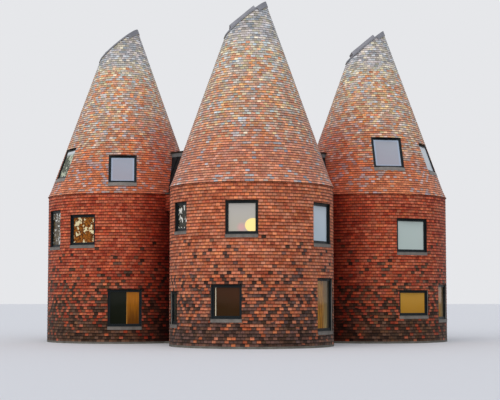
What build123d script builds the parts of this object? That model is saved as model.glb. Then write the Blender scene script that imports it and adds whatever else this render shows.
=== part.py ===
from build123d import *
import os
from math import atan, cos, degrees, radians, sin, sqrt

# An oast house of four round tile-hung towers round a flat-roofed core.
# Lengths in mm. Origin at the centre of the base, +Z up, front tower towards -Y.
# An azimuth is in degrees from the front (-Y), positive towards the right (+X).

# Towers
radius = 3100.0            # outside of the tile-hung wall
wall_thick = 300.0
eaves = 5940.0             # top of the round wall
cone_height = 8720.0       # eaves to the point where the full cone would end
roof_thick = 200.0         # square to the slope
lip_out = 35.0             # first courses kicked out over the wall
lip_high = 260.0
tower_gap = 1187.0         # between neighbouring towers, at their closest
centre_dist = (2 * radius + tower_gap) / sqrt(2)
slab_thick = 80.0
fit = 0.4                  # gap between curved faces, and round frames

# Sloping cut at the top of each cone, low on the left, tip on the right
cut_radius = 707.454       # the cone's radius where the cut crosses its axis
cut_mid_z = eaves + cone_height * (1 - cut_radius / radius)
cut_slope = 0.833          # rise per unit towards +X
rim_depth = 60.0           # metal band down the cone
tip_depth = 200.0          # deeper metal from the roof light to the tip
rim_proud = 18.0
deck_thick = 30.0
light_foot_gap = 310.0     # roof light from the low end of the cut, along its slope
light_past = 200.0         # its upper end beyond the axis, along the slope
light_side_gap = 105.0     # deck beside its foot
light_proud = 140.0        # above the deck
left_light_proud = 45.0    # the left tower's stands lower
light_frame = 60.0
blunt = 20.0               # radius at which a cone stops short of its point

# Floors
first_floor = 2970.0
attic_drop = 180.0         # attic floor below the eaves
attic_floor = eaves - attic_drop
floor_thick = 220.0

# Doorways from the core into each tower
door_width = 900.0
door_head = 2180.0

# Windows: frame section, glass, metal apron below
frame_face = 50.0
sash_face = 60.0
sash_back = 18.0           # sash behind the frame's outer face
frame_deep = 90.0
roof_frame_deep = 120.0
roof_set_back = 20.0       # frame behind the roof's face at its upper corners
roof_glass_back = 30.0
set_back = 70.0            # frame behind the wall face at its edges
glass_thick = 24.0
sill_thick = 20.0
sill_proud = 15.0
apron_drop = 100.0
apron_thick = 6.0
roof_apron_drop = 150.0

# Links between neighbouring towers, measured outwards from the line of centres
spandrel_out = 450.0
spandrel_thick = 200.0
spandrel_high = 670.0
spandrel_foot = eaves - spandrel_high
soffit_thick = 120.0
screen_in = 250.0          # screen behind the line of centres
screen_deep = 80.0
screen_bar = 60.0
screen_rails = (2180.0, 2860.0)
slope_foot_out = 330.0
slope_top_in = 450.0
slope_thick = 100.0
core_rise = 1760.0         # eaves to the core roof
core_top = eaves + core_rise
core_roof_thick = 160.0
coping_out = 30.0          # coping beyond the roof's edge
coping_high = 60.0
coping_wide = 220.0
lower_coping_high = 50.0
lower_coping_proud = 40.0

# Wall windows: azimuth, width, foot, head. Roof windows: the same, heights above the eaves.
front_wall = [
    (-8.4, 1190.0, first_floor + 1070.0, first_floor + 2310.0),
    (57.0, 1300.0, first_floor + 780.0, first_floor + 2300.0),
    (-60.0, 920.0, first_floor + 1240.0, first_floor + 2330.0),
    (-19.0, 1170.0, 1030.0, 2280.0),
    (62.3, 1430.0, 560.0, 2530.0),
    (-71.5, 860.0, 800.0, 2050.0),
]
left_wall = [
    (-60.2, 1050.0, first_floor + 860.0, first_floor + 2370.0),
    (-28.0, 1175.0, first_floor + 900.0, first_floor + 2140.0),
    (5.6, 1350.0, 650.0, 2140.0),
]
left_roof = [
    (3.2, 1135.0, 440.0, 1600.0),
    (-62.0, 1050.0, 730.0, 2010.0),
]
right_wall = [
    (25.2, 1450.0, first_floor + 630.0, first_floor + 2000.0),
    (26.2, 1400.0, 1070.0, 2110.0),
    (65.0, 1300.0, 900.0, 2350.0),
]
right_roof = [
    (9.0, 1280.0, 1110.0, 2410.0),
    (65.0, 1200.0, 1060.0, 2260.0),
]

cone_lean = degrees(atan(radius / cone_height))
inner_radius = radius - wall_thick


def mirrored(windows):
    """The same windows on the unseen back half."""
    return [(180.0 - azimuth, width, low, high) for azimuth, width, low, high in windows]


def outward(azimuth):
    return Vector(sin(radians(azimuth)), -cos(radians(azimuth)), 0)


def cone_radius(z):
    return radius * (1 - (z - eaves) / cone_height)


def group(shapes, place=Pos(0, 0, 0)):
    """Solids that share a node."""
    return Compound([place * solid for shape in shapes for solid in shape.solids()])


def ring(outer, inner, low, high):
    tube = Cylinder(outer, high - low) - Cylinder(inner, high - low)
    return Pos(0, 0, (low + high) / 2) * tube


def cone_body(start):
    """Solid cone from the eaves almost to its point, with the roof's slope."""
    high = (start - blunt) * cone_height / radius
    return Pos(0, 0, eaves + high / 2) * Cone(start, blunt, high)


def lip_body(clear=0.0):
    """Flared foot of the cone."""
    foot = radius + lip_out + clear
    head = cone_radius(eaves + lip_high) + clear
    return Pos(0, 0, eaves + lip_high / 2) * Cone(foot, head, lip_high)


def sector(start, end):
    """Tall wedge between two azimuths, wider than the tower."""
    reach = radius * 3
    middle = (start + end) / 2
    points = [(0, 0)]
    for azimuth in (start, (start + middle) / 2, middle, (middle + end) / 2, end):
        way = outward(azimuth) * reach
        points.append((way.X, way.Y))
    return extrude(make_face(Polyline(*points, close=True)), eaves * 2)


def above_cut(drop):
    """Everything above the sloping cut, lowered square to it by drop."""
    lean = degrees(atan(cut_slope))
    size = radius * 4
    return Pos(0, 0, cut_mid_z) * Rot(0, -lean, 0) * Pos(0, 0, size / 2 - drop) * Box(size, size, size)


def cut_half_width(along):
    """Half the width of the cut at a distance along its slope from the axis."""
    out = along * cos(atan(cut_slope))
    return sqrt(cone_radius(cut_mid_z + cut_slope * out)**2 - out**2)


def below_cut(rise):
    lean = degrees(atan(cut_slope))
    size = radius * 8
    return Pos(0, 0, cut_mid_z) * Rot(0, -lean, 0) * Pos(0, 0, rise - size / 2) * Box(size, size, size)


def wall_place(azimuth, z):
    """Plane on the wall: x along the wall, y up, z outwards, origin on the axis."""
    way = outward(azimuth)
    return Plane(origin=(0, 0, z), x_dir=(-way.Y, way.X, 0), z_dir=way)


def roof_place(azimuth, z):
    """Plane tangent to the cone at a height: x across, y up the slope, z outwards."""
    way = outward(azimuth)
    spot = way * cone_radius(z)
    lean = radians(cone_lean)
    normal = (way.X * cos(lean), way.Y * cos(lean), sin(lean))
    return Plane(origin=(spot.X, spot.Y, z), x_dir=(-way.Y, way.X, 0), z_dir=normal)


def frame_of(width, height, deep):
    """Window frame and sash about their centre, the frame's outer face at z = 0."""
    outer = Box(width - 2 * fit, height - 2 * fit, deep)
    rebate = Box(width - 2 * frame_face, height - 2 * frame_face, deep)
    clear = 2 * (frame_face + sash_face)
    hole = Box(width - clear, height - clear, deep * 2)
    return Pos(0, 0, -deep / 2) * (outer - Pos(0, 0, deep - sash_back) * rebate - hole)


def glass_of(width, height, depth):
    """Pane inside the sash, its outer face at depth below z = 0."""
    clear = 2 * (frame_face + sash_face + fit)
    pane = Box(width - clear, height - clear, glass_thick)
    return Pos(0, 0, -depth - glass_thick / 2) * pane


def wall_hole(azimuth, width, low, high):
    place = wall_place(azimuth, (low + high) / 2)
    return place * Pos(0, 0, radius - wall_thick / 2) * Box(width, high - low, wall_thick * 3)


def wall_window(azimuth, width, low, high):
    """Frame, pane and sill of one window in the round wall."""
    face = sqrt(radius**2 - (width / 2)**2) - set_back
    foot = low + sill_thick
    place = wall_place(azimuth, (foot + high) / 2)
    frame = place * Pos(0, 0, face) * frame_of(width, high - foot, frame_deep)
    pane = place * Pos(0, 0, face) * glass_of(width, high - foot, frame_deep / 2)
    ledge_in = face - frame_deep
    ledge_out = radius + sill_proud
    ledge = Box(width - 2 * fit, sill_thick - fit, ledge_out - ledge_in)
    ledge = wall_place(azimuth, low + sill_thick / 2) * Pos(0, 0, (ledge_in + ledge_out) / 2) * ledge
    ledge = ledge & (Pos(0, 0, low) * Cylinder(ledge_out, sill_thick * 4))
    band = ring(radius + apron_thick, radius + fit, low - apron_drop, low + sill_thick - fit / 2)
    strip = wall_place(azimuth, low) * Pos(0, 0, radius) * Box(width - 2 * fit, apron_drop * 3, radius / 2)
    return frame, pane, ledge + (band & strip)


def roof_window(azimuth, width, low, high):
    """Hole, frame, pane and apron of one window set into the slope of the cone."""
    lean = radians(cone_lean)
    height = (high - low) / cos(lean)
    bend = cone_radius(eaves + high) / cos(lean)
    drop = bend - sqrt(bend**2 - (width / 2)**2) + roof_set_back
    place = roof_place(azimuth, eaves + (low + high) / 2)
    hole = place * Box(width, height, roof_thick * 5)
    frame = place * Pos(0, 0, -drop) * frame_of(width, height, roof_frame_deep)
    pane = place * Pos(0, 0, -drop) * glass_of(width, height, roof_glass_back)
    sheet = cone_body(radius + apron_thick) - cone_body(radius + fit)
    below = Pos(0, -(height + roof_apron_drop) / 2, 0)
    apron = sheet & (place * below * Box(width, roof_apron_drop, roof_thick * 5))
    return hole, frame, pane, apron


def roof_cap(proud):
    """Metal band round the cut with a deck over it, and its roof light, proud of the deck."""
    lean = degrees(atan(cut_slope))
    cut_foot = cone_radius(cut_mid_z) / (1 - cut_slope * radius / cone_height) / cos(radians(lean))
    light_low = light_foot_gap - cut_foot
    long = light_past - light_low
    wide = 2 * (cut_half_width(light_low) - light_side_gap)
    slope = Pos(0, 0, cut_mid_z) * Rot(0, -lean, 0)
    well = slope * Pos((light_past + light_low) / 2, 0, 0)

    skin = cone_body(radius + rim_proud) - above_cut(0)
    sleeve = skin - cone_body(radius + fit)
    beyond = slope * Pos(light_past + radius, 0, 0) * Box(2 * radius, 2 * radius, 2 * radius)
    tip = (sleeve - below_cut(-tip_depth)) & beyond
    deck = skin - below_cut(-deck_thick + fit)
    cap = (sleeve - below_cut(-rim_depth)) + tip + deck
    cap -= well * Box(long, wide, deck_thick * 10)
    rim = Box(long - 2 * fit, wide - 2 * fit, proud + deck_thick)
    clear = 2 * light_frame
    rim -= Box(long - clear, wide - clear, radius)
    rim = well * Pos(0, 0, (proud - deck_thick) / 2) * rim
    clear += 2 * fit
    pane = well * Pos(0, 0, proud - glass_thick) * Box(long - clear, wide - clear, glass_thick)
    return cap, rim, pane


def tower(windows, roof_windows, inner, splits, light_rise=light_proud):
    """All pieces of one tower about its own axis, by name."""
    tube = ring(radius, inner_radius, slab_thick, eaves)
    for window in windows:
        tube -= wall_hole(*window)
    doorway = wall_place(inner, (slab_thick + door_head) / 2)
    tube -= doorway * Pos(0, 0, radius) * Box(door_width, door_head - slab_thick, wall_thick * 3)
    pieces = {}
    for name, start, end in splits:
        pieces["wall_" + name] = tube & sector(start, end)

    hollow = cone_body(radius - roof_thick / cos(radians(cone_lean)))
    shell = (cone_body(radius) + lip_body() - hollow) - above_cut(deck_thick)
    frames = []
    panes = []
    sills = []
    for window in windows:
        frame, pane, sill = wall_window(*window)
        frames.append(frame)
        panes.append(pane)
        sills.append(sill)
    for window in roof_windows:
        hole, frame, pane, apron = roof_window(*window)
        shell -= hole
        frames.append(frame)
        panes.append(pane)
        sills.append(apron)
    pieces["roof"] = shell
    pieces["window_frames"] = group(frames)
    pieces["window_glass"] = group(panes)
    pieces["sills"] = sills
    pieces["roof_cap"], pieces["light_frame"], pieces["light_glass"] = roof_cap(light_rise)

    room = inner_radius - fit
    first = Pos(0, 0, first_floor - floor_thick / 2) * Cylinder(room, floor_thick)
    attic = Pos(0, 0, attic_floor - floor_thick / 2) * Cylinder(room, floor_thick)
    pieces["floors"] = group([first, attic])
    return pieces


front = tower(front_wall, [], 180, [("left", -110, 10), ("right", 10, 130), ("inner", 130, 250)])
back = {}
for name, piece in front.items():
    solids = [mirror(solid, Plane.XZ) for solid in (piece if name == "sills" else piece.solids())]
    back[name] = solids if name == "sills" else group(solids)
left = tower(left_wall + mirrored(left_wall), left_roof + mirrored(left_roof), 90,
             [("front", -90, 30), ("inner", 30, 150), ("back", 150, 270)], left_light_proud)
right = tower(right_wall + mirrored(right_wall), right_roof + mirrored(right_roof), -90,
              [("front", -30, 90), ("back", 90, 210), ("inner", 210, 330)])

places = {
    "front": (front, Pos(0, -centre_dist, 0)),
    "left": (left, Pos(-centre_dist, 0, 0)),
    "right": (right, Pos(centre_dist, 0, 0)),
    "back": (back, Pos(0, centre_dist, 0)),
}

os.makedirs("parts", exist_ok=True)
nodes = {}
sills = []
light_frames = []
light_panes = []
for side, (pieces, place) in places.items():
    for name, piece in pieces.items():
        if name == "sills":
            sills += [place * sill for sill in piece]
        elif name == "light_frame":
            light_frames.append(place * piece)
        elif name == "light_glass":
            light_panes.append(place * piece)
        else:
            nodes[side + "_" + name] = group([piece], place)
nodes["window_sills"] = group(sills)
nodes["roof_light_frames"] = group(light_frames)
nodes["roof_light_glass"] = group(light_panes)

# Links and core. Along-gap solids are trimmed by the four towers' outsides.
line = centre_dist / sqrt(2)


def trimmed(solid):
    for _, place in places.values():
        solid -= place * (Pos(0, 0, eaves / 2) * Cylinder(radius + fit, eaves))
        solid -= place * cone_body(radius + fit)
        solid -= place * lip_body(fit)
    return solid


def link_profile(points):
    """Prism across one gap from points of outward offset and height."""
    outline = Polyline(*[(line + out, z) for out, z in points], close=True)
    across = Plane(origin=(0, 0, 0), x_dir=(1, 0, 0), z_dir=(0, -1, 0)) * make_face(outline)
    return extrude(across, radius / 2, both=True)


def four(solid):
    """One link's solid, trimmed and repeated at the four gaps."""
    turned = [trimmed(Rot(0, 0, 45 + 90 * step) * solid) for step in range(4)]
    return group(turned)


def link_box(out_low, out_high, low, high):
    return link_profile([(out_low, low), (out_high, low), (out_high, high), (out_low, high)])


# Tile-hung spandrel with its soffit, over the screen
spandrel = link_profile([
    (-screen_in - screen_deep, spandrel_foot),
    (spandrel_out, spandrel_foot),
    (spandrel_out, eaves),
    (spandrel_out - spandrel_thick, eaves),
    (spandrel_out - spandrel_thick, spandrel_foot + soffit_thick),
    (-screen_in - screen_deep, spandrel_foot + soffit_thick),
])
nodes["link_spandrels"] = four(spandrel)

# Metal-clad slopes leaning in to the core roof
slope = link_profile([
    (slope_foot_out, eaves),
    (-slope_top_in, core_top - core_roof_thick),
    (-slope_top_in - slope_thick, core_top - core_roof_thick),
    (slope_foot_out - slope_thick, eaves),
])
nodes["link_slopes"] = four(slope)

# Low copings in front of the slopes
low_coping = link_profile([
    (slope_foot_out + fit, eaves),
    (spandrel_out + lower_coping_proud, eaves),
    (spandrel_out + lower_coping_proud, eaves + lower_coping_high),
    (slope_foot_out + fit, eaves + lower_coping_high),
])
nodes["link_copings"] = four(low_coping)

# Screens: frame with rails, and a pane in each opening
screen_high = spandrel_foot
frame = link_box(-screen_in - screen_deep, -screen_in, slab_thick, screen_high)
gap_half = line - sqrt(radius**2 - screen_in**2)
levels = [slab_thick, *screen_rails, screen_high]
holes = []
panes = []
for step in range(len(levels) - 1):
    low = levels[step] + (screen_bar if step == 0 else screen_bar / 2)
    high = levels[step + 1] - (screen_bar if step == len(levels) - 2 else screen_bar / 2)
    span = 2 * (gap_half - screen_bar)
    middle = Pos(line - screen_in - screen_deep / 2, 0, (low + high) / 2)
    holes.append(middle * Box(screen_deep * 3, span, high - low))
    panes.append(middle * Box(glass_thick, span - 2 * fit, high - low - 2 * fit))
for hole in holes:
    frame -= hole
nodes["link_screen_frames"] = four(frame)
screen_panes = []
for step in range(4):
    screen_panes += [Rot(0, 0, 45 + 90 * step) * pane for pane in panes]
nodes["link_screen_glass"] = group(screen_panes)

# Flat core roof and its light metal coping
core_edge = line - slope_top_in
square = Rot(0, 0, 45) * Box(2 * core_edge, 2 * core_edge, core_roof_thick)
nodes["core_roof"] = trimmed(Pos(0, 0, core_top - core_roof_thick / 2) * square)
edge_wide = 2 * (core_edge + coping_out)
edge_box = Box(edge_wide, edge_wide, coping_high)
inner_box = Box(2 * (core_edge - coping_wide), 2 * (core_edge - coping_wide), coping_high * 2)
edge = Rot(0, 0, 45) * (edge_box - inner_box)
nodes["core_coping"] = trimmed(Pos(0, 0, core_top + coping_high / 2) * edge)

# Ground slab under everything
slab = Rot(0, 0, 45) * Box(2 * (line + spandrel_out), 2 * (line + spandrel_out), slab_thick)
for _, place in places.values():
    slab += place * Cylinder(radius, slab_thick)
nodes["ground_slab"] = Pos(0, 0, slab_thick / 2) * slab

for name, shape in nodes.items():
    export_step(shape, "parts/" + name + ".step")
    box = shape.bounding_box()
    print(name, len(shape.solids()), round(shape.volume / 1e9, 3), [round(v) for v in (*box.min, *box.max)])
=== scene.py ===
import math
import random

import bpy
import bmesh
import numpy as np
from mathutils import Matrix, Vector


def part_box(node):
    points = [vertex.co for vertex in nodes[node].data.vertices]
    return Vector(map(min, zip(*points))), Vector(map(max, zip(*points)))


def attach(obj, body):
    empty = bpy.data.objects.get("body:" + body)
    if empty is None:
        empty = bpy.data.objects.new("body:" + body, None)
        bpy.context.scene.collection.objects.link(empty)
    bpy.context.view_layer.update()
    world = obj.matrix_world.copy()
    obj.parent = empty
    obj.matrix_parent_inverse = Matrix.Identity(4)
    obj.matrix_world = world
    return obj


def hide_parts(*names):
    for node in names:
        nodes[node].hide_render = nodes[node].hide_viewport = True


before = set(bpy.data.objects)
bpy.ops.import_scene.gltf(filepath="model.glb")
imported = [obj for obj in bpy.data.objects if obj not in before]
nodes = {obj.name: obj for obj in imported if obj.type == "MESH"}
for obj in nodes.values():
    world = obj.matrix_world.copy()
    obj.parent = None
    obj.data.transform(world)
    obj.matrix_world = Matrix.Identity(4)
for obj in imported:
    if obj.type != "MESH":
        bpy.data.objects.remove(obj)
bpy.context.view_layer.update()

# Ground slab: plain concrete, cast to the outline of the four round towers and the
# core between them. It lies on the ground and carries every wall.


def linear(code):
    """A colour written as on a paint chart, as the shader's linear values."""
    parts = [int(code[i:i + 2], 16) / 255 for i in (0, 2, 4)]
    return tuple(p / 12.92 if p <= 0.04045 else ((p + 0.055) / 1.055) ** 2.4 for p in parts) + (1.0,)


class Wire:
    """A socket of a node tree that takes part in Python expressions."""

    def __init__(self, tree, socket=None):
        self.tree = tree
        self.socket = socket

    def node(self, kind, settings=None, values=None, out=0):
        """Adds a node: its settings first, then the values or links of its sockets."""
        made = self.tree.nodes.new(kind)
        for name, value in (settings or {}).items():
            if name == "stops":
                elements = made.color_ramp.elements
                while len(elements) < len(value):
                    elements.new(1.0)
                for element, (place, _) in zip(elements, value):
                    element.position = place
                for element, (_, colour) in zip(elements, value):
                    element.color = colour if hasattr(colour, "__len__") else (colour, colour, colour, 1.0)
            else:
                setattr(made, name, value)
        for name, value in (values or {}).items():
            if isinstance(value, Wire):
                self.tree.links.new(value.socket, made.inputs[name])
            else:
                made.inputs[name].default_value = value
        return Wire(self.tree, made.outputs[out])

    def maths(self, operation, *terms):
        return self.node("ShaderNodeMath", {"operation": operation}, dict(enumerate(terms)))

    def __add__(self, other):
        return self.maths("ADD", self, other)

    def __radd__(self, other):
        return self.maths("ADD", other, self)

    def __sub__(self, other):
        return self.maths("SUBTRACT", self, other)

    def __rsub__(self, other):
        return self.maths("SUBTRACT", other, self)

    def __mul__(self, other):
        return self.maths("MULTIPLY", self, other)

    def __rmul__(self, other):
        return self.maths("MULTIPLY", other, self)

    def __truediv__(self, other):
        return self.maths("DIVIDE", self, other)

    def __lt__(self, other):
        return self.maths("LESS_THAN", self, other)

    def __gt__(self, other):
        return self.maths("GREATER_THAN", self, other)

    def __abs__(self):
        return self.maths("ABSOLUTE", self)


def finish(name, metal=0.0):
    """A material, its Principled shader and a wire to start expressions from."""
    made = bpy.data.materials.new(name)
    made.use_nodes = True
    shader = made.node_tree.nodes["Principled BSDF"]
    shader.inputs["Metallic"].default_value = metal
    return made, shader, Wire(made.node_tree)


def plug(shader, name, wire):
    wire.tree.links.new(wire.socket, shader.inputs[name])


def mix(w, factor, first, second):
    """First colour where the factor is 0, second where it is 1."""
    return w.node("ShaderNodeMix", {"data_type": "RGBA"}, {0: factor, 6: first, 7: second}, 2)


def ease(w, value, low, high, first=0.0, second=1.0):
    """Smooth step from first to second while the value goes from low to high."""
    return w.node("ShaderNodeMapRange", {"interpolation_type": "SMOOTHSTEP"},
                  {0: value, 1: low, 2: high, 3: first, 4: second})


def patches(w, scale, detail=4.0, stretch=(1, 1, 1)):
    """Noise over the object, spread to about 0 to 1, and stretched along its axes."""
    spot = w.node("ShaderNodeTexCoord", out=3)
    pulled = w.node("ShaderNodeMapping", values={"Vector": spot, "Scale": stretch})
    cloud = w.node("ShaderNodeTexNoise", values={"Vector": pulled, "Scale": scale, "Detail": detail})
    return ease(w, cloud, 0.3, 0.7)


def relief(w, height, deep):
    return w.node("ShaderNodeBump", values={"Strength": 0.5, "Distance": deep, "Height": height})


def mottled(name, first, second, scale, rough, metal=0.0, deep=0.001, stretch=(1, 1, 1), gloss=0.5):
    """A finish that drifts between two colours and two roughnesses."""
    made, shader, w = finish(name, metal)
    shader.inputs["Specular IOR Level"].default_value = gloss
    broad = patches(w, scale, 5.0, stretch)
    fine = patches(w, scale * 7.0, 3.0, stretch)
    blend = broad * 0.7 + fine * 0.3
    plug(shader, "Base Color", mix(w, blend, linear(first), linear(second)))
    plug(shader, "Roughness", rough[0] + blend * (rough[1] - rough[0]))
    plug(shader, "Normal", relief(w, fine, deep))
    return made


def dress(material, *names):
    """Gives CAD nodes their material."""
    for name in names:
        nodes[name].data.materials.clear()
        nodes[name].data.materials.append(material)


dress(mottled("ground_concrete", "5f5c56", "7f7b73", 3.0, (0.85, 0.95), deep=0.003), "ground_slab")

# Round walls: masonry rings on the slab, plastered inside and wrapped in a dark
# membrane outside, with dull metal linings in the window openings. The tiles hang on
# battens in front, so the shell's outer face is drawn in behind them.
SIDES = ("front", "left", "right", "back")
skin_in = 0.030
wall_foot, eaves = (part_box("front_wall_left")[end][2] for end in (0, 1))
axis = {}
for side in SIDES:
    low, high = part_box(side + "_roof")
    axis[side] = Vector(((low[0] + high[0]) / 2, (low[1] + high[1]) / 2, 0))
wall_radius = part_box("front_wall_right")[1][0] - axis["front"].x
core_half = math.radians(36)       # each side of the way to the core's centre, no tiles hang
on_face, welded = 0.004, 2e-5      # how near a corner lies to the face, or to its twin
storey_low, storey_high = 2.7, 3.1     # between the windows of the two storeys

plaster = mottled("wall_plaster", "cdc8be", "dedbd3", 6.0, (0.85, 0.95))
membrane = mottled("batten_membrane", "17110f", "251b17", 20.0, (0.9, 1.0))
lining, shader, w = finish("reveal_lining", 0.3)
height = w.node("ShaderNodeSeparateXYZ", values={0: w.node("ShaderNodeTexCoord", out=3)}, out=2)
storey = ease(w, height, storey_low, storey_high)
pale = mix(w, patches(w, 5.0), linear("8b8783"), linear("a5a19c"))
dark = mix(w, patches(w, 5.0), linear("3a3836"), linear("4d4a48"))
plug(shader, "Base Color", mix(w, storey, pale, dark))
plug(shader, "Roughness", 0.4 + patches(w, 9.0) * 0.2)


def shell_behind(name, names, off_face, drawn_in, edge=lining):
    """The CAD solids with their tiled face drawn in, as a piece in their place."""
    shell = bmesh.new()
    for node in names:
        copy = nodes[node].data.copy()
        shell.from_mesh(copy)
        bpy.data.meshes.remove(copy)
    bmesh.ops.remove_doubles(shell, verts=shell.verts, dist=welded)
    outer = {v for v in shell.verts if abs(off_face(v.co)) < on_face}
    for v in outer:
        v.co = drawn_in(v.co)
    mesh = bpy.data.meshes.new(name)
    for material in (plaster, membrane, edge):
        mesh.materials.append(material)
    shell.normal_update()
    for polygon in shell.faces:
        corners = [v in outer for v in polygon.verts]
        polygon.material_index = 1 if all(corners) else 2 if any(corners) else 0
    shell.to_mesh(mesh)
    shell.free()
    piece = bpy.data.objects.new(name, mesh)
    bpy.context.scene.collection.objects.link(piece)
    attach(piece, "root")
    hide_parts(*names)
    return piece


def from_core(place):
    """Angle between a place beside the origin and the way to the core's centre."""
    side = min(SIDES, key=lambda s: (place.xy - axis[s].xy).length)
    return (place.xy - axis[side].xy).angle(-axis[side].xy)


for side in SIDES:
    centre = axis[side]

    def off_wall(place):
        if from_core(place) < core_half:
            return 1.0
        return (place.xy - centre.xy).length - wall_radius

    def wall_drawn_in(place):
        flat = (place.xy - centre.xy).normalized() * (wall_radius - skin_in) + centre.xy
        return Vector((flat.x, flat.y, place.z))

    names = sorted(n for n in nodes if n.startswith(side + "_wall_"))
    shell_behind(side + "_wall_shell", names, off_wall, wall_drawn_in)

# Floors: round decks of boards on joists at the first floor and over it, one pair in
# each tower, let into the walls.
boards, shader, w = finish("floor_boards")
grain = patches(w, 3.0, 5.0, (1.0, 14.0, 1.0))
across = w.node("ShaderNodeSeparateXYZ", values={0: w.node("ShaderNodeTexCoord", out=3)}, out=1)
board_wide, board_seam = 0.14, 0.04     # the seam as a share of a board
seam = abs(w.maths("FRACT", across / board_wide) - 0.5) > 0.5 - board_seam / 2
wood = mix(w, grain, linear("8d6a43"), linear("b58f62"))
plug(shader, "Base Color", mix(w, seam, wood, linear("3c2a1a")))
plug(shader, "Roughness", 0.5 + grain * 0.2)
dress(boards, *(side + "_floors" for side in SIDES))

# Tile hanging: plain clay tiles 165 mm wide, nailed to battens in broken bond and cut
# round every window, each tail lying on the course below. Fired red above, with more
# and more blue-brown tiles towards the ground.
tile_width = 0.165
tile_thick = 0.012
tile_gap = 0.004
tile_lap = 1.42                    # length, in courses
tail_fall = 0.013                  # how far a tile leans in over one course
wall_gauge = 0.1165
narrowest = 0.86                   # of the tile's width, before a course drops tiles
skew, side_play, tail_play, depth_play = 0.08, 0.0012, 0.0025, 0.003
offcut_wide, offcut_long = 0.008, 0.012     # smaller offcuts are left out
fewest_tiles = 8                   # in a course
top_strips = 5                     # a tile under a sloping edge is cut in this many steps
even_step, course_step = 0.618034, 0.754878     # from tile to tile, spread odd ones evenly
wall_stray = 0.62                  # share of chance in that spread


def cladding_tree():
    """Geometry Nodes that put a box on each point and wrap all round a tower.

    A point holds azimuth, distance up the face and depth; its attributes hold the
    box's spans, the azimuth and width of the whole tile that it is cut from, and the
    foot of its course.
    """
    tree = bpy.data.node_groups.new("hang cladding", "GeometryNodeTree")
    face = tree.interface
    face.new_socket("Places", in_out="INPUT", socket_type="NodeSocketGeometry")
    for name in ("Radius", "Lean", "Foot", "Gauge", "Fall", "Lip", "Lip High"):
        face.new_socket(name, in_out="INPUT", socket_type="NodeSocketFloat")
    face.new_socket("Centre", in_out="INPUT", socket_type="NodeSocketVector")
    face.new_socket("Material", in_out="INPUT", socket_type="NodeSocketMaterial")
    face.new_socket("Cladding", in_out="OUTPUT", socket_type="NodeSocketGeometry")
    start = tree.nodes.new("NodeGroupInput")
    given = {socket.name: Wire(tree, socket) for socket in start.outputs if socket.name}
    w = Wire(tree)
    block = w.node("GeometryNodeMeshCube", values={"Size": (1, 1, 1)})
    size = w.node("GeometryNodeInputNamedAttribute", {"data_type": "FLOAT_VECTOR"}, {"Name": "spans"})
    placed = w.node("GeometryNodeInstanceOnPoints",
                    values={"Points": given["Places"], "Instance": block, "Scale": size})
    real = w.node("GeometryNodeRealizeInstances", values={"Geometry": placed})
    spot = w.node("GeometryNodeInputPosition")
    around, up, depth = (w.node("ShaderNodeSeparateXYZ", values={0: spot}, out=i) for i in range(3))
    middle, wide, foot = (w.node("GeometryNodeInputNamedAttribute", {"data_type": "FLOAT"}, {"Name": name})
                          for name in ("middle", "whole_width", "course_foot"))
    along = (up - foot) / given["Gauge"]
    across = (around - middle) / wide * 2.0
    kept = w.node("GeometryNodeStoreNamedAttribute", {"data_type": "FLOAT", "domain": "POINT"},
                  {"Geometry": real, "Name": "along", "Value": along})
    kept = w.node("GeometryNodeStoreNamedAttribute", {"data_type": "FLOAT", "domain": "POINT"},
                  {"Geometry": kept, "Name": "across", "Value": across})
    kick = given["Lip"] * w.maths("MAXIMUM", 1.0 - up / given["Lip High"], 0.0)
    stand = depth - along * given["Fall"] + kick
    sin_lean = w.maths("SINE", given["Lean"])
    cos_lean = w.maths("COSINE", given["Lean"])
    out = given["Radius"] - up * sin_lean + stand * cos_lean
    high = given["Foot"] + up * cos_lean + stand * sin_lean
    east = w.maths("SINE", around) * out
    north = w.maths("COSINE", around) * out * -1.0
    turned = w.node("ShaderNodeCombineXYZ", values={0: east, 1: north, 2: high})
    whole = w.node("ShaderNodeVectorMath", {"operation": "ADD"}, {0: turned, 1: given["Centre"]})
    moved = w.node("GeometryNodeSetPosition", values={"Geometry": kept, "Position": whole})
    dressed = w.node("GeometryNodeSetMaterial", values={"Geometry": moved, "Material": given["Material"]})
    end = tree.nodes.new("NodeGroupOutput")
    tree.links.new(dressed.socket, end.inputs[0])
    return tree


hang_cladding = cladding_tree()


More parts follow.
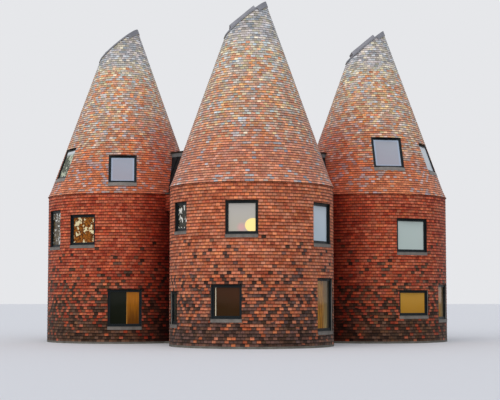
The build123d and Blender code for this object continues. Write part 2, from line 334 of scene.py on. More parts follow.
def hung(name, boxes, material, slot, **sizes):
    """Runs the cladding tree on a cloud of places and returns the plain mesh piece."""
    mesh = bpy.data.meshes.new(name + "_places")
    mesh.from_pydata([(b["around"], b["up"], b["depth"]) for b in boxes], [], [])
    columns = {
        "spans": ("FLOAT_VECTOR", [v for b in boxes for v in b["spans"]]),
        "middle": ("FLOAT", [b.get("middle", b["around"]) for b in boxes]),
        "whole_width": ("FLOAT", [b.get("wide", b["spans"][0]) for b in boxes]),
        "course_foot": ("FLOAT", [b["foot"] for b in boxes]),
        "shade": ("FLOAT", [b["shade"] for b in boxes]),
        "tone": ("FLOAT", [b["tone"] for b in boxes]),
    }
    for label, (kind, values) in columns.items():
        layer = mesh.attributes.new(label, kind, "POINT")
        layer.data.foreach_set("vector" if kind == "FLOAT_VECTOR" else "value", values)
    carrier = bpy.data.objects.new(name + "_places", mesh)
    bpy.context.scene.collection.objects.link(carrier)
    modifier = carrier.modifiers.new("hang", "NODES")
    modifier.node_group = hang_cladding
    sizes = {"Gauge": 1.0, "Fall": 0.0, "Lip": 0.0, "Lip High": 1.0, "Lean": 0.0,
             "Material": material, **sizes}
    for item in hang_cladding.interface.items_tree:
        if item.in_out == "INPUT" and item.name in sizes:
            modifier[item.identifier] = sizes[item.name]
    graph = bpy.context.evaluated_depsgraph_get()
    plain = bpy.data.meshes.new_from_object(carrier.evaluated_get(graph), depsgraph=graph)
    carrier.modifiers.remove(modifier)
    bpy.data.objects.remove(carrier)
    plain.name = name
    if not plain.materials:
        plain.materials.append(material)
    piece = bpy.data.objects.new(name, plain)
    bpy.context.scene.collection.objects.link(piece)
    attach(piece, "root")
    return piece


def cut_round(box, openings, here):
    """What is left of a tile (start, stop, tail, head) beside and over the openings."""
    left = [box]
    for azimuth, half, low, high in openings:
        reach = math.asin(min(1.0, half / here))
        rest = []
        for start, stop, tail, head in left:
            off = ((start + stop) / 2 - azimuth + math.pi) % (2 * math.pi) - math.pi
            before = off - (stop - start) / 2
            after = off + (stop - start) / 2
            if after <= -reach or before >= reach or head <= low or tail >= high:
                rest.append((start, stop, tail, head))
                continue
            inner_start = start + max(0.0, -reach - before)
            inner_stop = stop - max(0.0, after - reach)
            if before < -reach:
                rest.append((start, inner_start, tail, head))
            if after > reach:
                rest.append((inner_stop, stop, tail, head))
            if tail < low:
                rest.append((inner_start, inner_stop, tail, low))
            if head > high:
                rest.append((inner_start, inner_stop, high, head))
        left = rest
    return left


def tiles_round(radius, lean, length, gauge, openings, chance, top_at, stray):
    """Tiles of every course on a round face, whole or cut to the windows and the top."""
    tiles = []
    count = 0
    for course in range(math.ceil(length / gauge)):
        foot = course * gauge
        here = radius - foot * math.sin(lean)
        if count == 0 or 2 * math.pi * here / count < tile_width * narrowest:
            count = max(fewest_tiles, round(2 * math.pi * here / tile_width))
        span = 2 * math.pi / count
        shift = (course % 2) * span / 2 + chance.uniform(-skew, skew) * span
        for place in range(count):
            start = shift + place * span + (tile_gap / 2 + chance.uniform(-side_play, side_play)) / here
            stop = shift + (place + 1) * span - tile_gap / 2 / here
            tail = foot + chance.uniform(-tail_play, tail_play)
            head = min(foot + gauge * tile_lap, length)
            depth = -tile_thick / 2 - chance.uniform(0.0, depth_play)
            shade = (place * even_step + course * course_step + chance.random() * stray) % 1.0
            tone = chance.random()
            for a, b, s, t in cut_round((start, stop, tail, head), openings, here):
                strips = 1 if min(top_at(a), top_at(b)) >= t else top_strips
                for strip in range(strips):
                    left, right = (a + (b - a) * (strip + end) / strips for end in (0, 1))
                    top = min(t, top_at(left), top_at(right))
                    narrow = (right - left) * here * strips < offcut_wide
                    if narrow or top - s < offcut_long or s > foot + gauge:
                        continue
                    tiles.append({"around": (left + right) / 2, "up": (s + top) / 2, "depth": depth,
                                  "spans": (right - left, top - s, tile_thick), "foot": foot,
                                  "middle": (start + stop) / 2, "wide": stop - start,
                                  "shade": shade, "tone": tone})
    return tiles


def loose_solids(node):
    """Corner arrays of the separate solids in a CAD node."""
    mesh = node.data
    keys = {}
    index = [keys.setdefault(tuple(round(c, 5) for c in v.co), len(keys)) for v in mesh.vertices]
    parent = list(range(len(keys)))

    def root(i):
        while parent[i] != i:
            parent[i] = parent[parent[i]]
            i = parent[i]
        return i

    for polygon in mesh.polygons:
        first = root(index[polygon.vertices[0]])
        for v in polygon.vertices[1:]:
            parent[root(index[v])] = first
    corners = np.array(list(keys))
    groups = {}
    for i in range(len(corners)):
        groups.setdefault(root(i), []).append(i)
    return [corners[group] for group in groups.values()]


def windows_of(side):
    """Windows of a tower as azimuth, half width, and lowest and highest point."""
    found = []
    for corners in loose_solids(nodes[side + "_window_frames"]):
        local = corners - np.array((*axis[side].xy, 0.0))
        centre = local.mean(0)
        azimuth = math.atan2(centre[0], -centre[1])
        half = np.abs(local[:, 0] * math.cos(azimuth) + local[:, 1] * math.sin(azimuth)).max()
        found.append({"azimuth": azimuth, "half": half,
                      "low": local[:, 2].min(), "high": local[:, 2].max()})
    return found


def attribute(w, name):
    return w.node("ShaderNodeAttribute", {"attribute_name": name}, out=2)


def level_of(w, foot, top):
    """Height up the piece, from 0 at its foot to 1 at its top."""
    spot = w.node("ShaderNodeTexCoord", out=3)
    return (w.node("ShaderNodeSeparateXYZ", values={0: spot}, out=2) - foot) / (top - foot)


def ramp(w, value, stops):
    stops = [(place, linear(v) if isinstance(v, str) else v) for place, v in stops]
    return w.node("ShaderNodeValToRGB", {"stops": stops}, {0: value})


def times(w, colour, other):
    return w.node("ShaderNodeMix", {"data_type": "RGBA", "blend_type": "MULTIPLY"},
                  {0: 1.0, 6: colour, 7: other}, 2)


def throw(w, of_tone, of_shade):
    """One more even chance for each tile, from its two."""
    return w.maths("FRACT", attribute(w, "tone") * of_tone + attribute(w, "shade") * of_shade)


def painted_gap_shade(w, colour):
    """Painted shade and red bounce light on the clay in the gaps, where towers shade and redden each other.
    """
    spot = w.node("ShaderNodeTexCoord", out=3)
    east, north, z = (w.node("ShaderNodeSeparateXYZ", values={0: spot}, out=i) for i in range(3))
    from_middle = w.maths("SQRT", east * east + north * north)
    way_out = (from_middle - gap_deep) / (gap_mouth - gap_deep)
    # painted shade and red bounce light, deepest inside the gap and low down
    gap_shade = mix(w, ease(w, z, *gap_shade_change), ramp(w, way_out, low_gap_shade), ramp(w, way_out, high_gap_shade))
    return times(w, colour, mix(w, ease(w, z, *gap_shade_end), gap_shade, (1, 1, 1, 1)))


def fired(w, shader, colour, shadow, joint_shade):
    """Finishes a tile: painted shadow where the next course covers it, painted shade at its joints, rough
    skin.
    """
    fleck = patches(w, 42.0, 4.0)
    # painted shadow under the next course's tail, and painted shade beside each joint
    under = ease(w, attribute(w, "along"), *covered, 1.0, 1 - shadow)
    edge = ease(w, abs(attribute(w, "across")), joint_from, 1.0, 1.0, 1 - joint_shade)
    batch = throw(w, 13.0, 7.0)
    light = under * edge * (0.92 + fleck * 0.16) * (0.82 + batch * batch * 0.52)
    plug(shader, "Base Color", painted_gap_shade(w, times(w, colour, light)))
    plug(shader, "Roughness", 0.62 + fleck * 0.2)
    plug(shader, "Normal", relief(w, fleck, 0.004))
    shader.inputs["Specular IOR Level"].default_value = 0.16
    shader.inputs["Sheen Weight"].default_value = 0.1
    shader.inputs["Sheen Roughness"].default_value = 0.45


def varied(w, colour, strength):
    """A cast from straw over pink to blue green, tile by tile, as the kiln leaves it."""
    return times(w, colour, mix(w, strength, (1, 1, 1, 1), ramp(w, throw(w, 23.0, 3.0), casts)))


covered = (0.42, 0.95)             # of a course up the tile, where the next one shades it
joint_from = 0.76                  # of half a tile's width
casts = [(0.0, (1.22, 1.15, 0.78, 1)), (0.25, (1.14, 1.00, 0.80, 1)), (0.5, (1.02, 0.90, 0.98, 1)),
         (0.75, (0.80, 0.90, 1.08, 1)), (1.0, (0.84, 1.04, 1.26, 1))]
# Painted shade and red bounce light in the gaps: where it lies, the heights where it changes and ends, and
# how much each channel darkens
gap_deep, gap_mouth = 4.1, 5.9     # distances from the core's middle
gap_shade_change, gap_shade_end = (5.4, 6.6), (8.2, 9.8)     # heights
low_gap_shade = [(0.0, (0.36, 0.13, 0.12, 1)), (0.5, (0.70, 0.46, 0.44, 1)), (1.0, (1, 1, 1, 1))]
high_gap_shade = [(0.0, (0.82, 0.52, 0.50, 1)), (0.5, (0.97, 0.80, 0.78, 1)), (1.0, (1, 1, 1, 1))]
# Darker towards the foot of the wall
darker_towards_foot = [(0.0, (0.69, 0.70, 0.68, 1)), (0.5, (0.92, 0.93, 0.95, 1)), (0.8, (1, 1, 1, 1))]
dark_share = [(0.0, 0.93), (0.08, 0.86), (0.14, 0.70), (0.2, 0.56), (0.31, 0.38), (0.38, 0.26),
              (0.46, 0.14), (0.56, 0.08), (0.66, 0.035), (0.72, 0.0)]


def wall_clay(name, reds, browns):
    """Red clay with a share of dark tiles that falls with height."""
    made, shader, w = finish(name)
    level = level_of(w, wall_foot, eaves)
    tone = attribute(w, "tone")
    drift = patches(w, 0.9, 2.0)
    dark = attribute(w, "shade") < ramp(w, level, dark_share) * (0.9 + drift * 0.2)
    streak = patches(w, 1.1, 3.0, (1.0, 1.0, 8.0))
    pick = tone * 0.48 + streak * 0.38 + patches(w, 22.0) * 0.14
    brown = ramp(w, tone * 0.8 + patches(w, 22.0) * 0.2, browns)
    colour = mix(w, dark, ramp(w, pick, reds), brown)
    # darker towards the foot of the wall
    colour = varied(w, times(w, colour, ramp(w, level, darker_towards_foot)), 0.5)
    fired(w, shader, colour, shadow=0.80, joint_shade=0.42)
    return made


wall_clays = {
    "front": wall_clay(
        "wall_tile_clay_front",
        [(0.0, "964331"), (0.18, "bd6043"), (0.36, "d47552"), (0.55, "e58762"),
         (0.72, "f19a72"), (0.86, "d77b62"), (1.0, "b15a45")],
        [(0.0, "3a2824"), (0.25, "5a4238"), (0.5, "74564c"), (0.75, "94685a"), (1.0, "66504e")]),
    "rear": wall_clay(
        "wall_tile_clay",
        [(0.0, "822f22"), (0.18, "ab442f"), (0.36, "c6593d"), (0.55, "d66c4c"),
         (0.72, "e1815d"), (0.86, "c05b46"), (1.0, "964031")],
        [(0.0, "3a2822"), (0.25, "583e30"), (0.5, "725240"), (0.75, "90644e"), (1.0, "644c44")]),
}
windows = {side: windows_of(side) for side in SIDES}
wall_seeds = {"front": 11, "left": 22, "right": 33, "back": 44}
sill_deep = 0.02                   # ledge between a wall frame and its opening's foot

for side in SIDES:
    inward = math.atan2(-axis[side].x, axis[side].y)
    openings = [(v["azimuth"], v["half"], v["low"] - sill_deep - wall_foot, v["high"] - wall_foot)
                for v in windows[side] if v["low"] < eaves]

    def wall_top(azimuth):
        off = (azimuth - inward + math.pi) % (2 * math.pi) - math.pi
        return eaves - wall_foot if abs(off) > core_half else 0.0

    tiles = tiles_round(wall_radius, 0.0, eaves - wall_foot, wall_gauge, openings,
                        random.Random(wall_seeds[side]), wall_top, wall_stray)
    hung(side + "_wall_tiles", tiles, wall_clays["front" if side == "front" else "rear"], "tile_hanging",
         Radius=wall_radius, Foot=wall_foot, Gauge=wall_gauge, Fall=tail_fall, Centre=tuple(axis[side]))

# Cone roofs: the same tiles at a closer gauge on a tall cone, kicked out over the wall
# at the foot. Red at the eaves with a few pale blue tiles, more and more cream, green
# and grey ones further up, and weathered grey under the sloping cut.
roof_gauge = 0.100
lip_high = 0.260
tiled_share = 0.86                 # of the whole cone's slope, past the cut's top
roof_stray = 1.0                   # odd tiles fall by chance alone
metal_cover = 0.01                 # tiles stop under the metal round the cut
roof_mesh = nodes["front_roof"].data
roof_tip = max((v.co for v in roof_mesh.vertices), key=lambda co: co.z)
tip_out = (roof_tip.xy - axis["front"].xy).length
cone_height = (roof_tip.z - eaves) / (1 - tip_out / wall_radius)
cone_lean = math.atan(wall_radius / cone_height)
cut_slope = 0.833                  # rise of the cut towards the tip, per metre across
cut_middle = roof_tip.z - cut_slope * tip_out
lip_out = (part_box("front_roof")[1][0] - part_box("front_roof")[0][0]) / 2 - wall_radius


def cone_face(z):
    """Outside radius of the roof at a height, its kicked-out foot included."""
    lip = lip_out * max(0.0, 1 - (z - eaves) / lip_high)
    return wall_radius * (1 - (z - eaves) / cone_height) + lip


# Share of pale tiles, how pale they are and how far a tile's cast shows, by height.
front_pales = [(0.0, 0.24), (0.028, 0.16), (0.05, 0.07), (0.15, 0.08), (0.21, 0.24), (0.3, 0.36),
               (0.42, 0.46), (0.55, 0.56), (0.64, 0.66), (0.72, 0.78), (0.77, 0.88), (0.79, 2.0)]
rear_pales = [(0.0, 0.28), (0.028, 0.22), (0.05, 0.18), (0.14, 0.34), (0.25, 0.46), (0.4, 0.54),
              (0.55, 0.60), (0.66, 0.72), (0.75, 0.86), (0.77, 2.0)]
front_strength = [(0.1, 0.9), (0.25, 0.64), (0.6, 0.64), (0.79, 1.0)]
rear_strength = [(0.1, 0.62), (0.25, 0.54), (0.6, 0.62), (0.79, 1.0)]
roof_cast = [(0.08, 0.35), (0.26, 0.8), (0.6, 0.9), (0.8, 0.55)]


def even_ramp(w, value, *codes):
    return ramp(w, value, [(i / (len(codes) - 1), code) for i, code in enumerate(codes)])


def roof_clay(name, pale_share, strength, reds, faded):
    """Clay that bleaches and greys with height, mixed with a growing share of pale tiles."""
    made, shader, w = finish(name)
    level = level_of(w, eaves, roof_tip.z)
    tone = attribute(w, "tone")
    drift = patches(w, 0.8, 2.0)
    odd = attribute(w, "shade") < ramp(w, level, pale_share) * (0.88 + drift * 0.24)
    streak = patches(w, 1.3, 3.0, (1.0, 1.0, 9.0))
    pick = tone * 0.80 + streak * 0.12 + patches(w, 22.0) * 0.08
    red = mix(w, ease(w, level, 0.1, 0.62), even_ramp(w, pick, *reds), even_ramp(w, pick, *faded))
    pales = even_ramp(w, pick, "aab4a6", "e9d1aa", "d0d5cf", "fff0d6", "bbaf95", "f1cdb2",
                      "b7c2c6", "fff6ea", "c7c4a6", "edd5be", "bfbcb6")
    greys = even_ramp(w, pick, "9a9a9c", "b8b6b4", "d2cdc8", "ebe6e2", "b6b2b0")
    blues = even_ramp(w, pick, "a3a4ac", "b4b8c4", "cfc6c4", "b8a09a")
    pale = mix(w, ease(w, level, 0.74, 0.79), pales, greys)
    pale = mix(w, ease(w, level, 0.16, 0.26), blues, pale)
    part = odd * ramp(w, level, strength) + throw(w, 9.0, 5.0) * ease(w, level, 0.12, 0.4, 0.05, 0.36)
    colour = varied(w, mix(w, part, red, pale), ramp(w, level, roof_cast))
    fired(w, shader, colour, shadow=ease(w, level, 0.3, 0.8, 0.80, 0.46), joint_shade=0.24)
    shader.inputs["Sheen Weight"].default_value = 0.32
    shader.inputs["Sheen Roughness"].default_value = 0.48
    return made


roof_clays = {
    "front": roof_clay(
        "roof_tile_clay_front", front_pales, front_strength,
        ("c5674e", "e89371", "d37c5c", "f9af8a", "c57860", "ec9d75", "db8468", "f4aa8e", "ce6f50"),
        ("dc714e", "ffaf82", "e59267", "ffd3a2", "d47f5f", "ffba8e", "e5a97f", "ffb286", "e1835b",
         "fccb9e", "eb8769")),
    "rear": roof_clay(
        "roof_tile_clay", rear_pales, rear_strength,
        ("c45b3a", "e68356", "d16e46", "f89d6a", "c46b49", "ea8d5a", "da7650", "f3996d", "cc633c"),
        ("d36947", "f8a476", "dc885c", "ffc693", "c97756", "faae81", "dc9e73", "fea679", "d77a52",
         "f1bd90", "e07f5e")),
}


def up_slope(out, z):
    """Distance up the cone's face from the eaves."""
    return (wall_radius - out) * math.sin(cone_lean) + (z - eaves) * math.cos(cone_lean)


def roof_top(azimuth):
    """Distance up the slope from the eaves to the sloping cut."""
    tilt = cut_slope * math.sin(azimuth)
    far_up = (cut_middle - eaves + tilt * wall_radius) / (math.cos(cone_lean) + tilt * math.sin(cone_lean))
    return far_up - metal_cover


roof_seeds = {"front": 16, "left": 27, "right": 38, "back": 49}
eaves_bed = mottled("eaves_bedding", "a8765c", "c39478", 7.0, (0.85, 0.95), deep=0.003)

for side in SIDES:
    centre = axis[side]
    openings = []
    for v in windows[side]:
        if v["low"] > eaves:
            foot, head = (up_slope(cone_face(z), z) for z in (v["low"], v["high"]))
            openings.append((v["azimuth"], v["half"], foot, head))
    tiles = tiles_round(wall_radius, cone_lean, cone_height * tiled_share / math.cos(cone_lean), roof_gauge,
                        openings, random.Random(roof_seeds[side]), roof_top, roof_stray)
    hung(side + "_roof_tiles", tiles, roof_clays["front" if side == "front" else "rear"], "roof_tile",
         Radius=wall_radius, Lean=cone_lean, Foot=eaves, Gauge=roof_gauge, Fall=tail_fall,
         Centre=tuple(centre), **{"Lip": lip_out, "Lip High": lip_high})

    def off_roof(place):
        return ((place.xy - centre.xy).length - cone_face(place.z)) * math.cos(cone_lean)

    def roof_drawn_in(place):
        out = (place.xy - centre.xy).length
        flat = (place.xy - centre.xy) * ((out - skin_in * math.cos(cone_lean)) / out) + centre.xy
        return Vector((flat.x, flat.y, place.z - skin_in * math.sin(cone_lean)))

    shell_behind(side + "_roof_shell", [side + "_roof"], off_roof, roof_drawn_in, eaves_bed)

# Window frames: folded metal, painted near black, with the sash set back inside. They
# stand in the lined openings, on a thin metal ledge.


def painted(name, first, second, rough):
    """Stove paint on metal, chalked a little, with a fine orange peel."""
    return mottled(name, first, second, 6.0, rough, 0.0, 0.0006, gloss=0.3)


frame_paint = painted("frame_paint", "0b1519", "151f25", (0.35, 0.5))
dress(frame_paint, *(side + "_window_frames" for side in SIDES), "link_screen_frames")

# Panes: sealed double glass, held in the sashes. What each one mirrors or shows from
# outside is painted into its colour, as painted reflections and painted light and shade
# in the rooms: pale sky or blinds upstairs, brown and ochre rooms and leaves below.


def leaves(w, bark, leaf, sky, gaps):
    """Painted reflection of branches before the sky, as a pane mirrors them."""
    cloud = patches(w, 4.6, 5.0, (1.0, 1.0, 0.8))
    twig = patches(w, 15.0, 4.0)
    mass = mix(w, twig, linear(bark), linear(leaf))
    return mix(w, ease(w, cloud + twig * 0.5, gaps, gaps + 0.12), mass, linear(sky))


def far(w, u, v, u0, v0, wide, high):
    """Distance from a spot of a pane, in units of an ellipse's half width and height."""
    square = w.maths("POWER", (u - u0) / wide, 2.0) + w.maths("POWER", (v - v0) / high, 2.0)
    return w.maths("SQRT", square)


# Painted lamp light in a room, seen through a pane.
def lamp(w, u, v):
    return ease(w, far(w, u, v, 0.80, 0.21, 0.62, 0.27), 0.86, 1.0, 1.0, 0.0)


def lamp_room(w, u, v):
    blush = ease(w, far(w, u, v, -0.02, 0.14, 0.40, 0.20), 0.3, 1.15, 1.0, 0.0)
    wall = mix(w, ease(w, v, 0.0, 1.0), linear("cec8bc"), linear("d0cbc7"))
    return mix(w, lamp(w, u, v), mix(w, blush, wall, linear("ecc0bc")), linear("ffe9a0"))


def dark_room(w, u, v):
    # Painted light in a dark room, brighter up the pane, with a pale line near its left edge.
    glow = ease(w, v + u * 0.15, 0.1, 1.0)
    room = mix(w, glow, linear("3a2612"), linear("4a2a15"))
    return mix(w, abs(u + 0.9) < 0.035, room, linear("e0d4bc"))


def ochre_room(w, u, v):
    """A warm curtain on the left, paler cloth by it and the painted shade of the room's dark side."""
    fold = patches(w, 5.0, 3.0, (2.5, 2.5, 0.3))
    curtain = mix(w, fold, linear("8c5410"), linear("cc8a22"))
    cloth = mix(w, fold, linear("8c7444"), linear("b89c68"))
    warm = mix(w, ease(w, u, -0.2, 0.5), curtain, mix(w, ease(w, v, 0.2, 0.75), cloth, linear("846434")))
    return mix(w, ease(w, u, 0.5, 0.85), warm, linear("4a4236"))


def ochre_blind(w, u, v):
    return mix(w, ease(w, v, -0.2, 1.0), linear("bc8830"), linear("d6a03e"))


def split_room(w, u, v):
    left = mix(w, ease(w, v, 0.0, 1.0), linear("181c12"), linear("1e2219"))
    grain = patches(w, 5.0, 3.0, (3.0, 3.0, 0.3))
    right = mix(w, ease(w, v + grain * 0.2, 0.1, 1.1), linear("6c3e0e"), linear("c47a1e"))
    whole = mix(w, ease(w, u, 0.16, 0.2), left, right)
    return mix(w, abs(u - 0.16) < 0.03, whole, linear("c08438"))


# A gradient up a pane: painted sky reflection in pale colours, painted shade of an unlit room in dark ones.
def sky_glass(first, second):
    return lambda w, u, v: mix(w, ease(w, v + u * 0.2, 0.0, 1.0), linear(first), linear(second))


def rimmed_sky(first, second):
    """Painted sky reflection in a tilted pane, with its bright blue reveal mirrored along the edges."""
    sky = sky_glass(first, second)

    def look(w, u, v):
        edge = ease(w, w.maths("MAXIMUM", abs(u), abs(v * 2.0 - 1.0)), 0.8, 1.0)
        return mix(w, edge * 0.7, sky(w, u, v), linear("b0c6e2"))

    return look


def gold_leaves(w, u, v):
    return leaves(w, "401c06", "b86c18", "fff0c0", 0.92)


def white_leaves(w, u, v):
    return leaves(w, "121410", "46422f", "fffcf4", 0.92)


def brown_leaves(w, u, v):
    return leaves(w, "241c10", "7c6a4a", "f0f0ea", 0.96)


def green_leaves(w, u, v):
    low = leaves(w, "0a0e04", "3a4a12", "c4ccb0", 0.88)
    return mix(w, ease(w, v, 0.78, 0.95), low, linear("dfe6ea"))


# Painted sky reflection on plain upper panes, painted shade of unlit rooms on plain lower ones.
plain_upper = sky_glass("a6adb2", "bac2c7")
plain_lower = sky_glass("2b2c2b", "46484a")
# For each tower: azimuth in degrees, a height on the pane, and the look of it.
seen_in = {
    "front": [(-8, 4.7, lamp_room), (57, 4.5, sky_glass("cfe0ee", "dfebf7")), (-60, 4.8, white_leaves),
              (-19, 1.7, dark_room), (62, 1.6, ochre_room), (-71, 1.4, sky_glass("2c2e27", "383a32"))],
    "left": [(-60, 4.6, brown_leaves), (-28, 4.5, gold_leaves), (6, 1.4, split_room),
             (3, 7.0, rimmed_sky("a9a9b7", "a7adbd")), (-62, 7.3, green_leaves)],
    "right": [(25, 4.3, sky_glass("cad9d6", "d2e1df")), (26, 1.6, ochre_blind), (65, 1.6, ochre_room),
              (9, 7.7, rimmed_sky("adacb9", "adb1bd")), (65, 7.6, sky_glass("c4cdd6", "d4dce2"))],
    "back": [],
}
match = math.radians(8)            # how near a pane lies to the azimuth stated for it
sash_deep = 0.11                   # frame and sash on each side of a pane
look_reach = 1.3                   # of a pane's width and height, past its edges
lower_head, upper_head = 3.0, 9.0  # where the plain panes' colours end


def pane_glass(side):
    made, shader, w = finish(side + "_pane")
    spot = w.node("ShaderNodeTexCoord", out=3)
    east, north, z = (w.node("ShaderNodeSeparateXYZ", values={0: spot}, out=i) for i in range(3))
    colour = mix(w, ease(w, z, storey_low, storey_high), plain_lower(w, 0.0, z / lower_head),
                 plain_upper(w, 0.0, z / upper_head))
    for azimuth, level, look in seen_in[side]:
        near = [v for v in windows[side] if abs(v["azimuth"] - math.radians(azimuth)) < match
                and v["low"] < level < v["high"]]
        for v in near:
            sine, cosine = math.sin(v["azimuth"]), math.cos(v["azimuth"])
            x, y = east - axis[side].x, north - axis[side].y
            u = (x * cosine + y * sine) / (v["half"] - sash_deep)
            out = x * sine - y * cosine
            up = (z - v["low"] - sash_deep) / (v["high"] - v["low"] - 2 * sash_deep)
            here = (abs(u) < look_reach) * (abs(up - 0.5) < look_reach / 2) * (out > 0.0)
            colour = mix(w, here, colour, look(w, u, up))
            if look is lamp_room:
                # Painted lamp glow: the pane itself emits light where the room's lamp shows.
                glow = mix(w, here * lamp(w, u, up), (0, 0, 0, 1), linear("ffdc84"))
                plug(shader, "Emission Color", glow)
                shader.inputs["Emission Strength"].default_value = 0.4
    plug(shader, "Base Color", colour)
    plug(shader, "Roughness", 0.03 + patches(w, 1.5) * 0.05)
    shader.inputs["Specular IOR Level"].default_value = 0.14
    plug(shader, "Normal", relief(w, patches(w, 0.8, 2.0), 0.002))
    return made


for side in SIDES:
    dress(pane_glass(side), side + "_window_glass")

# Ledges and aprons: thin dull sheet, lapped over the tiles below each window and let
# in under its frame.
apron_sheet = mottled("apron_sheet", "736d69", "958f8a", 4.0, (0.4, 0.65), 0.3, 0.002, (1.0, 1.0, 0.4))
dress(apron_sheet, "window_sills")

# Roof caps: weathered sheet folded over the sloping cut, deepest at the tip, with a
# metal-framed roof light standing in its lower part.
dress(mottled("cap_sheet", "777880", "96969e", 3.0, (0.45, 0.7), 0.2, 0.002),
      *(side + "_roof_cap" for side in SIDES))
dress(mottled("roof_light_sheet", "96969f", "aeaeb6", 3.0, (0.4, 0.6), 0.2, 0.001), "roof_light_frames")
# The roof light's glass is painted pale grey, as painted sky reflection.
light_pane, shader, w = finish("roof_light_pane")
plug(shader, "Base Color", mix(w, patches(w, 1.2), linear("8f98a0"), linear("a9b1b8")))
plug(shader, "Roughness", 0.04 + patches(w, 5.0) * 0.1)
dress(light_pane, "roof_light_glass")

# Link screens: glazed screens set back in the gaps between towers, three panes high,
# in the same dark metal as the windows. Deep in the recess their glass is painted nearly
# black, as painted shade.
screen_pane, shader, w = finish("screen_pane")
plug(shader, "Base Color", mix(w, patches(w, 1.0, 3.0), linear("14120f"), linear("262421")))
plug(shader, "Roughness", 0.05 + patches(w, 3.0) * 0.06)
dress(screen_pane, "link_screen_glass")

# Spandrels: boxes over the screens, hung with the walls' tiles in six courses on their
# outer faces.
spandrel_foot, spandrel_top = (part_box("link_spandrels")[end][2] for end in (0, 1))
spandrel_mesh = nodes["link_spandrels"].data
gap_ways = {"front_right": (1, -1), "back_right": (1, 1), "back_left": (-1, 1), "front_left": (-1, -1)}
gap_ways = {gap: Vector((*way, 0)).normalized() for gap, way in gap_ways.items()}
gap_way = gap_ways["front_right"]
spandrel_out = max(v.co.dot(gap_way) for v in spandrel_mesh.vertices)
spandrel_half = max(abs(v.co.x + v.co.y) for v in spandrel_mesh.vertices
                    if v.co.dot(gap_way) > spandrel_out - 0.001) / math.sqrt(2)
flat_radius = 200.0                # a tower so wide that its face is flat here
spandrel_courses = 6
spandrel_gauge = (spandrel_top - spandrel_foot) / spandrel_courses
spandrel_play = 0.002
chance = random.Random(71)


def gap_centre(way, out):
    """Centre of the wide tower whose face lies out from the origin in a gap's middle."""
    return tuple(way * (out - flat_radius))


for gap, way in gap_ways.items():
    turn = math.atan2(way.x, -way.y)
    tiles = []
    for course in range(spandrel_courses):
        foot = course * spandrel_gauge
        start = -spandrel_half - (course % 2) * tile_width / 2
        while start < spandrel_half:
            low, high = max(start, -spandrel_half), min(start + tile_width - tile_gap, spandrel_half)
            start += tile_width
            if high - low < tile_gap:
                continue
            tail = foot + chance.uniform(0.0, tail_play)
            head = min(foot + spandrel_gauge * tile_lap, spandrel_top - spandrel_foot)
            tiles.append({"around": turn + (low + high) / 2 / flat_radius, "up": (tail + head) / 2,
                          "depth": -tile_thick / 2 - chance.uniform(0.0, spandrel_play), "foot": foot,
                          "spans": ((high - low) / flat_radius, head - tail, tile_thick),
                          "shade": chance.random(), "tone": chance.random()})
    hung("spandrel_tiles_" + gap, tiles, wall_clays["front"], "tile_hanging", Radius=flat_radius,
         Foot=spandrel_foot, Gauge=spandrel_gauge, Fall=tail_fall, Centre=gap_centre(way, spandrel_out))


def off_spandrel(place):
    return max(abs(place.x - place.y), abs(place.x + place.y)) / math.sqrt(2) - spandrel_out


def spandrel_drawn_in(place):
    way = max(gap_ways.values(), key=place.dot)
    return place - way * skin_in


shell_behind("link_spandrel_boxes", ["link_spandrels"], off_spandrel, spandrel_drawn_in)

# Link slopes: dark coated sheet with standing seams, leaning in from the spandrels to
# the core roof, with a dark lead coping at the foot of each.
cladding = mottled("dark_cladding", "141618", "23262a", 1.6, (0.4, 0.65), 0.4, 0.002, (1.0, 1.0, 0.35))
dress(cladding, "link_slopes")
dress(mottled("lead_coping", "3a3532", "5a524c", 3.0, (0.5, 0.75), 0.2, 0.002), "link_copings")
slope_low, slope_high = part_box("link_slopes")
slope_corners = [v.co for v in nodes["link_slopes"].data.vertices]
slope_foot_out = max(co.dot(gap_way) for co in slope_corners)
slope_top_out = max(co.dot(gap_way) for co in slope_corners if co.z > slope_high.z - 0.001)
slope_lean = math.atan((slope_foot_out - slope_top_out) / (slope_high.z - slope_low.z))
slope_long = (slope_high.z - slope_low.z) / math.cos(slope_lean)
seam_apart, seam_wide, seam_high, seam_clear = 0.28, 0.014, 0.028, 0.02
seams_aside, seam_shortest, seam_step = 4, 0.1, 0.02


def seam_start(off):
    """How far up the slope a seam beside the middle clears the cones."""
    up = 0.0
    while up < slope_long:
        out = slope_foot_out - up * math.sin(slope_lean)
        z = slope_low.z + up * math.cos(slope_lean)
        place = gap_way * out + Vector((gap_way.y, -gap_way.x, 0)) * -off
        if min((place.xy - axis[side].xy).length for side in SIDES) > cone_face(z) + seam_clear:
            break
        up += seam_step
    return up


for gap, way in gap_ways.items():
    turn = math.atan2(way.x, -way.y)
    seams = []
    for off in (step * seam_apart for step in range(-seams_aside, seams_aside + 1)):
        low = seam_start(abs(off))
        if low < slope_long - seam_shortest:
            seams.append({"around": turn + off / flat_radius, "up": (low + slope_long) / 2,
                          "depth": seam_high / 2, "foot": 0.0, "shade": 0.5, "tone": 0.5,
                          "spans": (seam_wide / flat_radius, slope_long - low, seam_high)})
    hung("slope_seams_" + gap, seams, cladding, "dark_cladding", Radius=flat_radius, Lean=slope_lean,
         Foot=slope_low.z, Centre=gap_centre(way, slope_foot_out))

# Core roof: a flat deck with a dull rubber skin between the cones, edged by a dark
# metal coping.
dress(mottled("roof_membrane", "55585a", "77797a", 1.2, (0.8, 0.95), deep=0.003), "core_roof")
dress(painted("coping_paint", "1e1815", "362b25", (0.55, 0.75)), "core_coping")

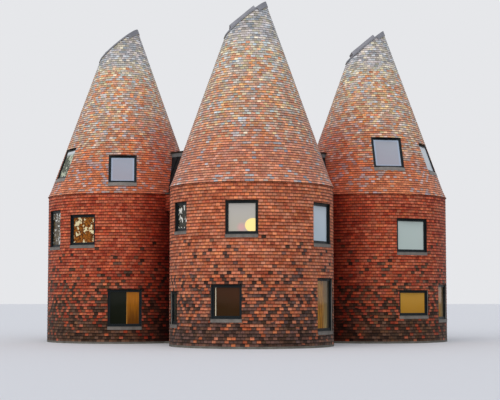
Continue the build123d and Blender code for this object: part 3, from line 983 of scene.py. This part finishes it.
# Studio: a wide pale floor, darker to the light that it throws back up, and a white
# surround that the camera and reflections see.
floor_half = 300
floor_corners = [(x * floor_half, y * floor_half, 0) for x, y in ((-1, -1), (1, -1), (1, 1), (-1, 1))]
floor_mesh = bpy.data.meshes.new("studio_floor")
floor_mesh.from_pydata(floor_corners, [], [(0, 1, 2, 3)])
floor = bpy.data.objects.new("studio_floor", floor_mesh)
bpy.context.scene.collection.objects.link(floor)
floor_paint, shader, w = finish("studio_floor_paint")
shader.inputs["Roughness"].default_value = 0.9
path = w.node("ShaderNodeLightPath").socket.node.outputs
plug(shader, "Base Color", mix(w, Wire(w.tree, path["Is Camera Ray"]), linear("6c6a62"), linear("dcdce0")))
floor_mesh.materials.append(floor_paint)

world = bpy.data.worlds.new("studio")
bpy.context.scene.world = world
world.use_nodes = True
w = Wire(world.node_tree)
surround = world.node_tree.nodes["Background"]
path = w.node("ShaderNodeLightPath").socket.node.outputs
seen, mirrored, through = (Wire(w.tree, path[name])
                           for name in ("Is Camera Ray", "Is Glossy Ray", "Is Transmission Ray"))
shown = w.maths("MAXIMUM", w.maths("MAXIMUM", seen, mirrored), through)
plug(surround, "Color", mix(w, shown, linear("dfe7f2"), linear("e6e7ea")))
plug(surround, "Strength", 0.74 + shown * 0.26)

sun = bpy.data.lights.new("soft_sun", "SUN")
sun.energy = 1.66
sun.color = (1.0, 0.95, 0.87)
sun.angle = math.radians(90)
sun_object = bpy.data.objects.new("soft_sun", sun)
sun_object.rotation_euler = (math.radians(52), 0, math.radians(-23))
sun_object.visible_glossy = False
bpy.context.scene.collection.objects.link(sun_object)

# Camera: low, in front of the near tower, looking up a little.
photo_wide, focal = 500, 1263.17   # pixels
lens = bpy.data.cameras.new("camera")
lens.sensor_width = 36
lens.lens = lens.sensor_width * focal / photo_wide
lens.clip_end = 1000
camera = bpy.data.objects.new("camera", lens)
bpy.context.scene.collection.objects.link(camera)
camera.location = (-1.461, -53.02, 1.812)
camera.rotation_euler = (math.radians(90 + 4.415), 0, math.radians(-1.681))
bpy.context.scene.camera = camera
bpy.context.scene.view_settings.view_transform = "Standard"

bpy.context.view_layer.update()
